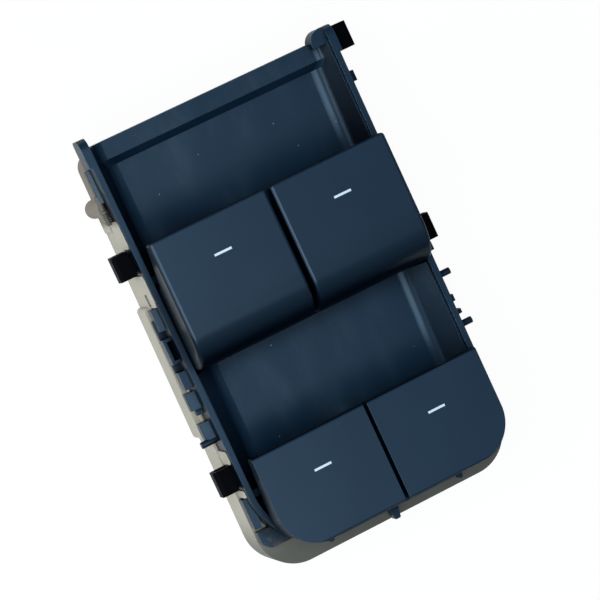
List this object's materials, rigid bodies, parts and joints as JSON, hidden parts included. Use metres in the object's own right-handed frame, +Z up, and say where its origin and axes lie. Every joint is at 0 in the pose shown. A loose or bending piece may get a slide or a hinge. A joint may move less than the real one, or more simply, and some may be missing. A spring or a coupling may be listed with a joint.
{
  "type": "power window switch",
  "caption": "Driver's door window switch: sprung push-and-pull keys with white dashes over finger wells, in a charcoal bezel on a greige housing with a plug-in socket.",
  "frame": {"origin": "middle of the flat underside of the lower housing", "axes": "+X to the right-hand keys, +Y to the header end, +Z up out of the keys"},
  "size_m": [0.0681, 0.1025, 0.0325],
  "materials": {
    "charcoal_plastic": "fine spark-eroded grain, satin",
    "key_plastic": "soft-touch satin",
    "greige_plastic": "plain moulded",
    "black_clip": "smooth",
    "zinc_steel": "zinc plated",
    "black_inner_plastic": "plain moulded",
    "board_green": "solder mask",
    "gold_track": "gold flash",
    "lamp_white": "moulded lens",
    "chip_black": "moulded epoxy",
    "tin_pin": "tin plated",
    "dash_white": "diffusing white",
    "natural_slider": "natural acetal",
    "spring_bronze": "rolled strip",
    "spring_steel": "rolled strip"
  },
  "bodies": {
    "housing": {"bezel": "charcoal_plastic", "lower_housing": "greige_plastic", "side_clips": "black_clip", "housing_screws": "zinc_steel", "switch_carrier": "black_inner_plastic", "circuit_board": "board_green", "contact_tracks": "gold_track", "indicator_lamps": "lamp_white", "controller_chip": "chip_black", "board_components": "chip_black", "connector_socket": "black_inner_plastic", "connector_pins": "tin_pin", "return_spring_front_left": "spring_steel", "return_spring_front_right": "spring_steel", "return_spring_rear_left": "spring_steel", "return_spring_rear_right": "spring_steel"},
    "front_left_key": {"key_front_left": "key_plastic", "indicator_front_left": "dash_white"},
    "front_left_carriage": {"slider_front_left": "natural_slider", "contact_front_left": "spring_bronze"},
    "front_right_key": {"key_front_right": "key_plastic", "indicator_front_right": "dash_white"},
    "front_right_carriage": {"slider_front_right": "natural_slider", "contact_front_right": "spring_bronze"},
    "rear_left_key": {"key_rear_left": "key_plastic", "indicator_rear_left": "dash_white"},
    "rear_left_carriage": {"slider_rear_left": "natural_slider", "contact_rear_left": "spring_bronze"},
    "rear_right_key": {"key_rear_right": "key_plastic", "indicator_rear_right": "dash_white"},
    "rear_right_carriage": {"slider_rear_right": "natural_slider", "contact_rear_right": "spring_bronze"}
  },
  "joints": [
    {"name": "front_left_key_tilt", "type": "hinge", "parent": "housing", "child": "front_left_key", "pos_m": [-0.0142, 0.006, 0.019], "axis": [1, 0, 0], "range_deg": [-6, 6], "stiffness_Nm_per_rad": 0.8, "deforming": ["return_spring_front_left"]},
    {"name": "front_left_carriage_slide", "type": "slide", "parent": "housing", "child": "front_left_carriage", "axis": [0, 1, 0], "range_m": [-0.0012, 0.0012]},
    {"name": "front_right_key_tilt", "type": "hinge", "parent": "housing", "child": "front_right_key", "pos_m": [0.0142, 0.006, 0.019], "axis": [1, 0, 0], "range_deg": [-6, 6], "stiffness_Nm_per_rad": 0.8, "deforming": ["return_spring_front_right"]},
    {"name": "front_right_carriage_slide", "type": "slide", "parent": "housing", "child": "front_right_carriage", "axis": [0, 1, 0], "range_m": [-0.0012, 0.0012]},
    {"name": "rear_left_key_tilt", "type": "hinge", "parent": "housing", "child": "rear_left_key", "pos_m": [-0.01378, -0.0379, 0.019], "axis": [1, 0, 0], "range_deg": [-6, 6], "stiffness_Nm_per_rad": 0.8, "deforming": ["return_spring_rear_left"]},
    {"name": "rear_left_carriage_slide", "type": "slide", "parent": "housing", "child": "rear_left_carriage", "axis": [0, 1, 0], "range_m": [-0.0012, 0.0012]},
    {"name": "rear_right_key_tilt", "type": "hinge", "parent": "housing", "child": "rear_right_key", "pos_m": [0.01378, -0.0379, 0.019], "axis": [1, 0, 0], "range_deg": [-6, 6], "stiffness_Nm_per_rad": 0.8, "deforming": ["return_spring_rear_right"]},
    {"name": "rear_right_carriage_slide", "type": "slide", "parent": "housing", "child": "rear_right_carriage", "axis": [0, 1, 0], "range_m": [-0.0012, 0.0012]}
  ],
  "couplings": [
    {"joint": "front_left_carriage_slide", "follows": "front_left_key_tilt", "m_per_rad": 0.0103},
    {"joint": "front_right_carriage_slide", "follows": "front_right_key_tilt", "m_per_rad": 0.0103},
    {"joint": "rear_left_carriage_slide", "follows": "rear_left_key_tilt", "m_per_rad": 0.0103},
    {"joint": "rear_right_carriage_slide", "follows": "rear_right_key_tilt", "m_per_rad": 0.0103}
  ]
}
